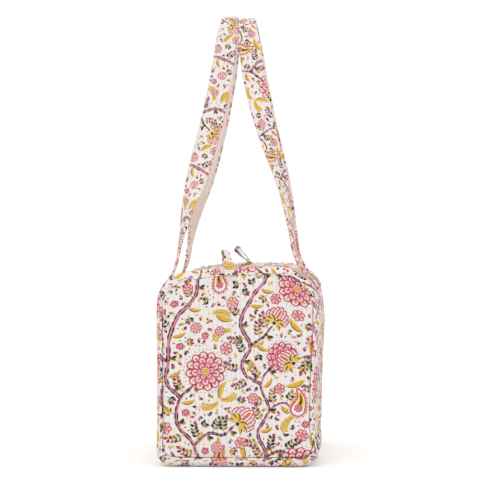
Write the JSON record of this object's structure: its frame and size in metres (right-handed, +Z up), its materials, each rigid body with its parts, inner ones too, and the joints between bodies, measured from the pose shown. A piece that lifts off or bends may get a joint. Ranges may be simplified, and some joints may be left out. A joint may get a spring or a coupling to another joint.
{
  "type": "knitting bag",
  "caption": "Quilted cotton knitting bag with a zip top, piped end panels, loop tabs at the zip ends and long strap handles that swing down.",
  "frame": {"origin": "On the floor under the middle of the bag.", "axes": "+Z up; Y along the bag, with the end panel seen in the picture at -Y; X across the bag, right-hand side panel at +X."},
  "size_m": [0.2053, 0.3935, 0.579],
  "materials": {
    "print_cotton": "channel-quilted cotton with a flower and leaf print",
    "strap_cotton": "quilted cotton strap, printed outside, plain inside",
    "piping_cloth": "cotton over cord",
    "lining_cotton": "plain woven cotton",
    "zip_tape": "woven tape",
    "zip_teeth": "moulded",
    "zip_metal": "antique brass, slightly rubbed"
  },
  "bodies": {
    "bag": {"front_end_panel": "print_cotton", "rear_end_panel": "print_cotton", "left_side_panel": "print_cotton", "right_side_panel": "print_cotton", "base_panel": "print_cotton", "front_top_end": "print_cotton", "rear_top_end": "print_cotton", "left_handle_feet": "strap_cotton", "right_handle_feet": "strap_cotton", "front_piping": "piping_cloth", "rear_piping": "piping_cloth", "pocket_binding": "piping_cloth", "left_lining": "lining_cotton", "right_lining": "lining_cotton", "base_lining": "lining_cotton", "front_end_lining": "lining_cotton", "rear_end_lining": "lining_cotton", "slip_pocket": "lining_cotton", "zip_tail_tapes": "zip_tape", "zip_tail_teeth": "zip_teeth", "zip_stops": "zip_metal"},
    "left_flap": {"left_top_strip": "print_cotton", "left_strip_lining": "lining_cotton", "left_zip_tape": "zip_tape", "left_zip_teeth": "zip_teeth"},
    "right_flap": {"right_top_strip": "print_cotton", "right_strip_lining": "lining_cotton", "right_zip_tape": "zip_tape", "right_zip_teeth": "zip_teeth"},
    "left_strap": {"left_handle": "strap_cotton"},
    "right_strap": {"right_handle": "strap_cotton"},
    "slider": {"zip_slider": "zip_metal"},
    "pull": {"zip_pull": "zip_metal"},
    "front_loop": {"front_tab": "print_cotton"},
    "rear_loop": {"rear_tab": "print_cotton"}
  },
  "joints": [
    {"name": "left_flap_fold", "type": "hinge", "parent": "bag", "child": "left_flap", "pos_m": [-0.0596, 0, 0.248], "axis": [0, -1, 0], "range_deg": [0, 75]},
    {"name": "right_flap_fold", "type": "hinge", "parent": "bag", "child": "right_flap", "pos_m": [0.0596, 0, 0.248], "axis": [0, 1, 0], "range_deg": [0, 75]},
    {"name": "left_handle_swing", "type": "hinge", "parent": "bag", "child": "left_strap", "pos_m": [-0.08413, 0, 0.24832], "axis": [0, -1, 0], "range_deg": [0, 114]},
    {"name": "right_handle_swing", "type": "hinge", "parent": "bag", "child": "right_strap", "pos_m": [0.07271, 0, 0.25294], "axis": [0, 1, 0], "range_deg": [0, 98]},
    {"name": "zip_run", "type": "slide", "parent": "bag", "child": "slider", "axis": [0, -1, 0], "range_m": [0, 0.34]},
    {"name": "pull_swing", "type": "hinge", "parent": "slider", "child": "pull", "pos_m": [0, 0.17, 0.2512], "axis": [1, 0, 0], "range_deg": [0, 174]},
    {"name": "front_tab_fold", "type": "hinge", "parent": "bag", "child": "front_loop", "pos_m": [-0.012, -0.192, 0.2426], "axis": [1, 0, 0], "range_deg": [-10, 100], "stiffness_Nm_per_rad": 0.003},
    {"name": "rear_tab_fold", "type": "hinge", "parent": "bag", "child": "rear_loop", "pos_m": [0, 0.192, 0.2516], "axis": [0, 1, 0], "range_deg": [-30, 70], "stiffness_Nm_per_rad": 0.003}
  ]
}
